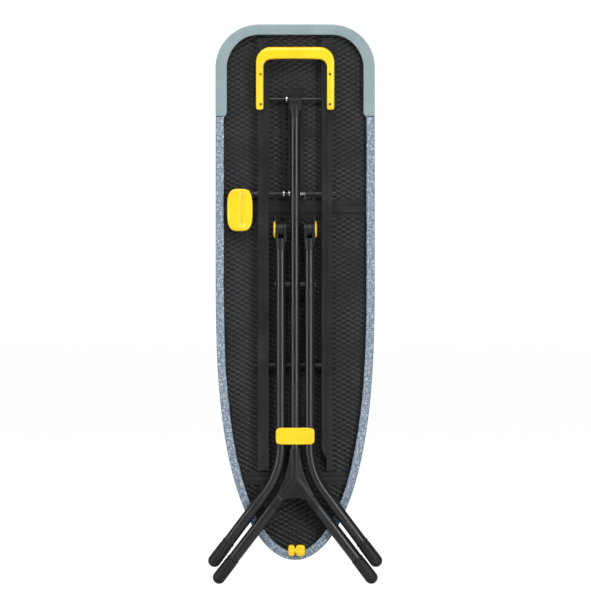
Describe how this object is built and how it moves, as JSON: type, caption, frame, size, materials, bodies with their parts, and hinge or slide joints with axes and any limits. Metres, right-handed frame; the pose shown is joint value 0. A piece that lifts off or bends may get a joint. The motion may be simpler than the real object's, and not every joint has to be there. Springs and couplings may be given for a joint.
{
  "type": "ironing board",
  "caption": "Folding ironing board, folded flat: mesh top with padded cloth cover, sliding scissor legs on tubes, carrying handle, height lever, leg clip and cover cord toggle.",
  "frame": {"origin": "middle of the folded board's box, at the level of the lower foot balls", "axes": "+Z along the board from the nose up to the square end, +Y out of the ironing face, -Y out of the underside, +X to the right when looking at the underside"},
  "size_m": [0.395, 0.061, 1.271],
  "materials": {
    "black_paint": "satin powder coat",
    "zinc_plate": "zinc plated",
    "black_nylon": "moulded, fine grain",
    "foot_rubber": "matte",
    "yellow_plastic": "smooth semi-gloss",
    "blue_cloth": "woven, heathered",
    "felt": "needled felt",
    "grey_trim": "smooth satin"
  },
  "bodies": {
    "board": {"mesh_panel": "black_paint", "rim_frame": "black_paint", "felt_pad": "felt", "cover_cloth": "blue_cloth", "cover_hem": "blue_cloth", "end_trim": "grey_trim", "rail_left": "black_paint", "rail_right": "black_paint", "mid_brace": "black_paint", "nose_brace": "black_paint", "cross_strap": "black_paint", "height_rack": "zinc_plate", "strut_axle": "zinc_plate", "axle_nuts": "zinc_plate", "rail_rivets": "zinc_plate", "carry_handle": "yellow_plastic", "handle_screws": "zinc_plate", "lever_bearings": "black_paint", "cord_toggle": "yellow_plastic"},
    "lever": {"lever_rod": "zinc_plate", "lever_paddle": "yellow_plastic", "latch_pawl": "zinc_plate", "lever_spring": "zinc_plate"},
    "head": {"head_axle": "zinc_plate", "head_glides": "black_nylon", "head_pawl": "zinc_plate"},
    "centre_leg": {"head_bracket": "black_nylon", "centre_tube": "black_paint", "pivot_bush": "zinc_plate", "y_junction": "black_nylon", "centre_arm_left": "black_paint", "centre_arm_right": "black_paint", "centre_foot_left": "foot_rubber", "centre_foot_right": "foot_rubber"},
    "strut": {"strut_tube_left": "black_paint", "strut_tube_right": "black_paint", "strut_tongue_left": "black_nylon", "strut_tongue_right": "black_nylon", "strut_sleeve": "black_nylon"},
    "twin_leg": {"twin_tube_left": "black_paint", "twin_tube_right": "black_paint", "knuckle_left": "black_nylon", "knuckle_right": "black_nylon", "hub_discs": "yellow_plastic", "hub_pins": "zinc_plate", "pivot_bolts": "zinc_plate", "pivot_spacers": "black_nylon", "leg_clip": "yellow_plastic", "clip_screws": "zinc_plate", "twin_foot_left": "foot_rubber", "twin_foot_right": "foot_rubber"},
    "button": {"toggle_button": "yellow_plastic"}
  },
  "joints": [
    {"name": "head_slide", "type": "slide", "parent": "board", "child": "head", "axis": [0, 0, -1], "range_m": [0, 0.1045]},
    {"name": "legs_fold", "type": "hinge", "parent": "head", "child": "centre_leg", "pos_m": [0, 0.0092, 1.101], "axis": [-1, 0, 0], "range_deg": [0, 52.18]},
    {"name": "strut_fold", "type": "hinge", "parent": "board", "child": "strut", "pos_m": [0, 0.0062, 0.495], "axis": [1, 0, 0], "range_deg": [0, 51.1]},
    {"name": "knee_fold", "type": "hinge", "parent": "strut", "child": "twin_leg", "pos_m": [0, -0.0049, 0.804], "axis": [-1, 0, 0], "range_deg": [0, 174.2]},
    {"name": "lever_squeeze", "type": "hinge", "parent": "board", "child": "lever", "pos_m": [0, 0.0077, 0.8855], "axis": [1, 0, 0], "range_deg": [0, 10], "stiffness_Nm_per_rad": 1.2, "springref_deg": -20.05},
    {"name": "toggle_press", "type": "slide", "parent": "board", "child": "button", "axis": [1, 0, 0], "range_m": [0, 0.0015], "stiffness_N_per_m": 600, "springref_m": -0.003}
  ],
  "couplings": [
    {"joint": "head_slide", "follows": "legs_fold", "m_per_rad": 0.11394},
    {"joint": "strut_fold", "follows": "legs_fold", "ratio": 0.97746},
    {"joint": "knee_fold", "follows": "legs_fold", "ratio": 3.3365}
  ]
}
